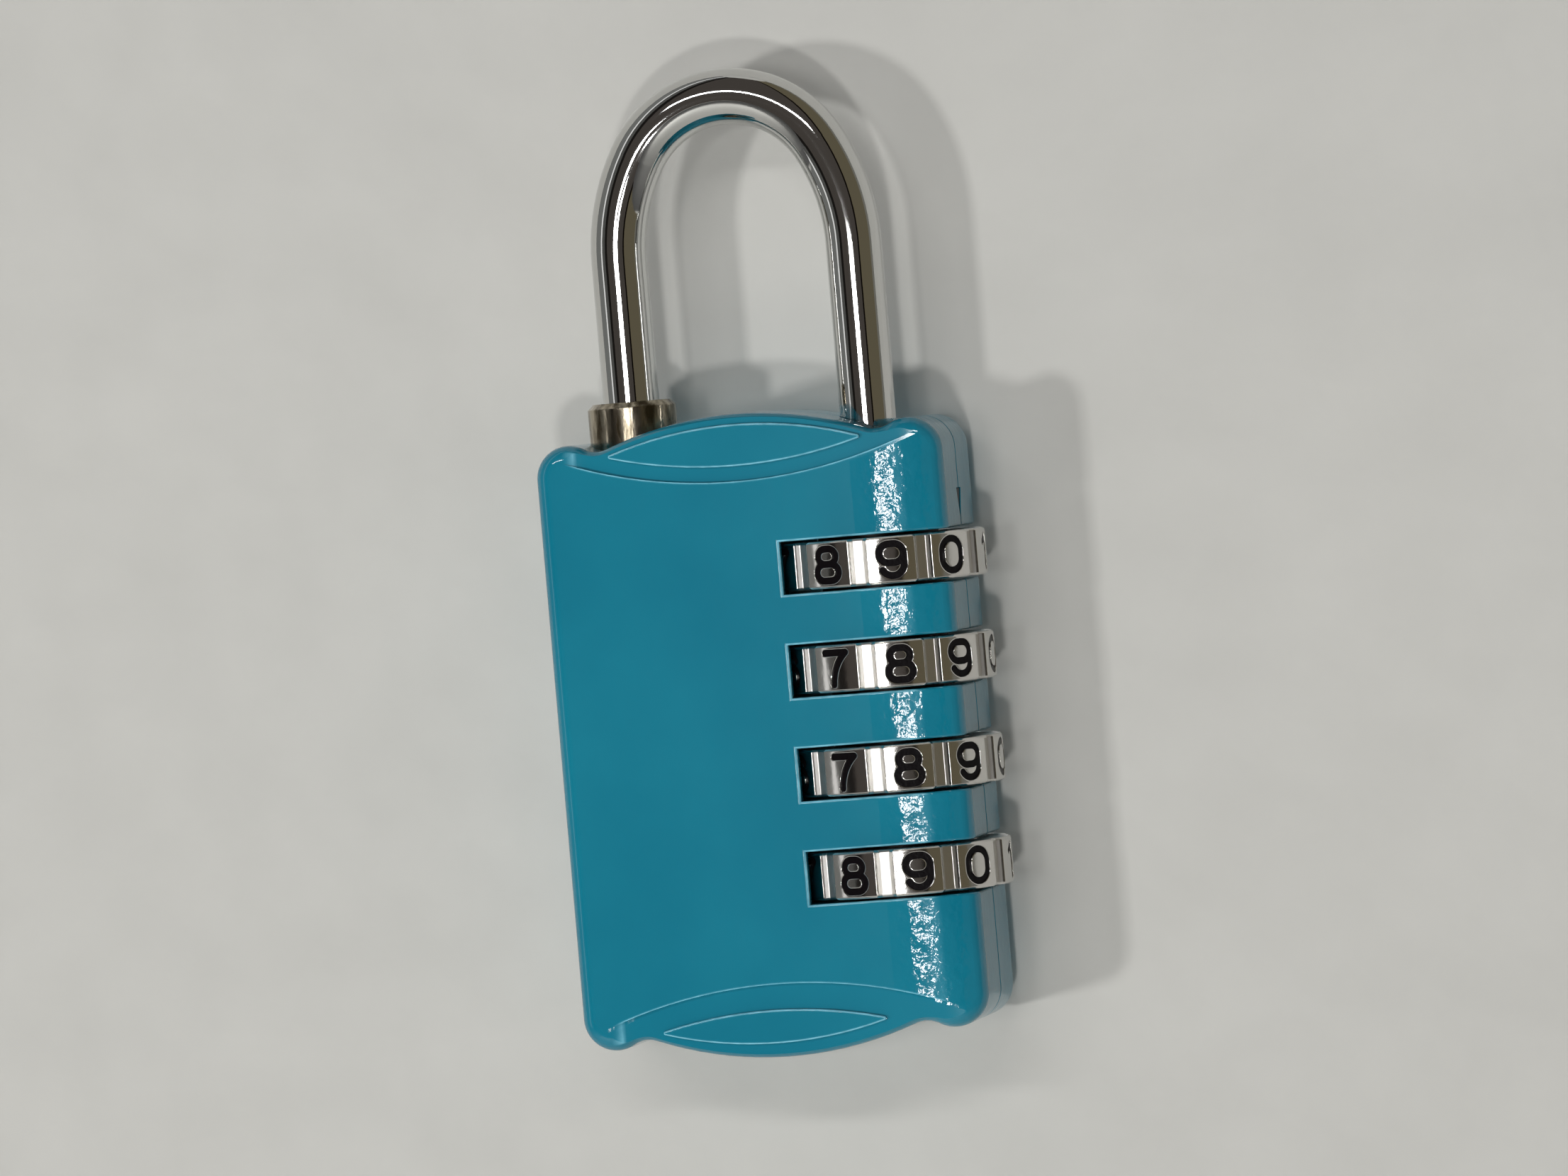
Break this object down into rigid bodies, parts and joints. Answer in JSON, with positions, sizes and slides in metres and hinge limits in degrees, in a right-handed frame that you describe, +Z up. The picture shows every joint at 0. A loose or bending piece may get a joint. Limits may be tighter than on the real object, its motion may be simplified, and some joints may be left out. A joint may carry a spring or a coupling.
{
  "type": "combination padlock",
  "caption": "Side-dial combination padlock: painted two-shell case with lobed ends, chromed number dials in side slots, and a chromed shackle that lifts out of a collar.",
  "frame": {"origin": "underside of the shackle's crown, the point the lock hangs from", "axes": "+Z up along the shackle's legs, +X towards the dial side, -Y out of the front face"},
  "size_m": [0.0315, 0.0154, 0.072],
  "materials": {
    "painted_zinc": "gloss teal-blue paint over zinc die casting",
    "chrome": "bright chrome plate",
    "dial_chrome": "bright chrome plate on zinc",
    "nickel": "worn nickel plate on brass",
    "black_enamel": "black enamel wiped into the engraving",
    "dark_steel": "turned steel, blackened",
    "spring_steel": "bright spring steel",
    "steel": "plain steel"
  },
  "bodies": {
    "case": {"front_shell": "painted_zinc", "back_shell": "painted_zinc", "case_pins": "steel", "collar": "nickel", "key_washer": "dark_steel", "detent_spring": "spring_steel", "reset_spring": "spring_steel"},
    "shackle": {"shackle": "chrome", "fence_pins": "steel"},
    "spring_washer": {"spring_washer": "steel"},
    "dial_1": {"dial_1": "dial_chrome", "numerals_1": "black_enamel"},
    "sleeve_1": {"sleeve_1": "dark_steel"},
    "dial_2": {"dial_2": "dial_chrome", "numerals_2": "black_enamel"},
    "sleeve_2": {"sleeve_2": "dark_steel"},
    "dial_3": {"dial_3": "dial_chrome", "numerals_3": "black_enamel"},
    "sleeve_3": {"sleeve_3": "dark_steel"},
    "dial_4": {"dial_4": "dial_chrome", "numerals_4": "black_enamel"},
    "sleeve_4": {"sleeve_4": "dark_steel"}
  },
  "joints": [
    {"name": "shackle_lift", "type": "slide", "parent": "case", "child": "shackle", "axis": [0, 0, 1], "range_m": [0, 0.0075]},
    {"name": "reset_press", "type": "slide", "parent": "case", "child": "spring_washer", "axis": [0, 0, -1], "range_m": [0, 0.0015], "stiffness_N_per_m": 200, "springref_m": -0.0015, "deforming": ["reset_spring"]},
    {"name": "dial_1_turn", "type": "hinge", "parent": "case", "child": "dial_1", "pos_m": [0.0088, 0, -0.03251], "axis": [0, 0, 1], "continuous": true},
    {"name": "sleeve_1_press", "type": "slide", "parent": "dial_1", "child": "sleeve_1", "axis": [0, 0, -1], "range_m": [0, 0.0015]},
    {"name": "dial_2_turn", "type": "hinge", "parent": "case", "child": "dial_2", "pos_m": [0.0088, 0, -0.04001], "axis": [0, 0, 1], "continuous": true},
    {"name": "sleeve_2_press", "type": "slide", "parent": "dial_2", "child": "sleeve_2", "axis": [0, 0, -1], "range_m": [0, 0.0015]},
    {"name": "dial_3_turn", "type": "hinge", "parent": "case", "child": "dial_3", "pos_m": [0.0088, 0, -0.04751], "axis": [0, 0, 1], "continuous": true},
    {"name": "sleeve_3_press", "type": "slide", "parent": "dial_3", "child": "sleeve_3", "axis": [0, 0, -1], "range_m": [0, 0.0015]},
    {"name": "dial_4_turn", "type": "hinge", "parent": "case", "child": "dial_4", "pos_m": [0.0088, 0, -0.05501], "axis": [0, 0, 1], "continuous": true},
    {"name": "sleeve_4_press", "type": "slide", "parent": "dial_4", "child": "sleeve_4", "axis": [0, 0, -1], "range_m": [0, 0.0015]}
  ],
  "couplings": [
    {"joint": "sleeve_1_press", "follows": "reset_press", "ratio": 1},
    {"joint": "sleeve_2_press", "follows": "reset_press", "ratio": 1},
    {"joint": "sleeve_3_press", "follows": "reset_press", "ratio": 1},
    {"joint": "sleeve_4_press", "follows": "reset_press", "ratio": 1}
  ]
}
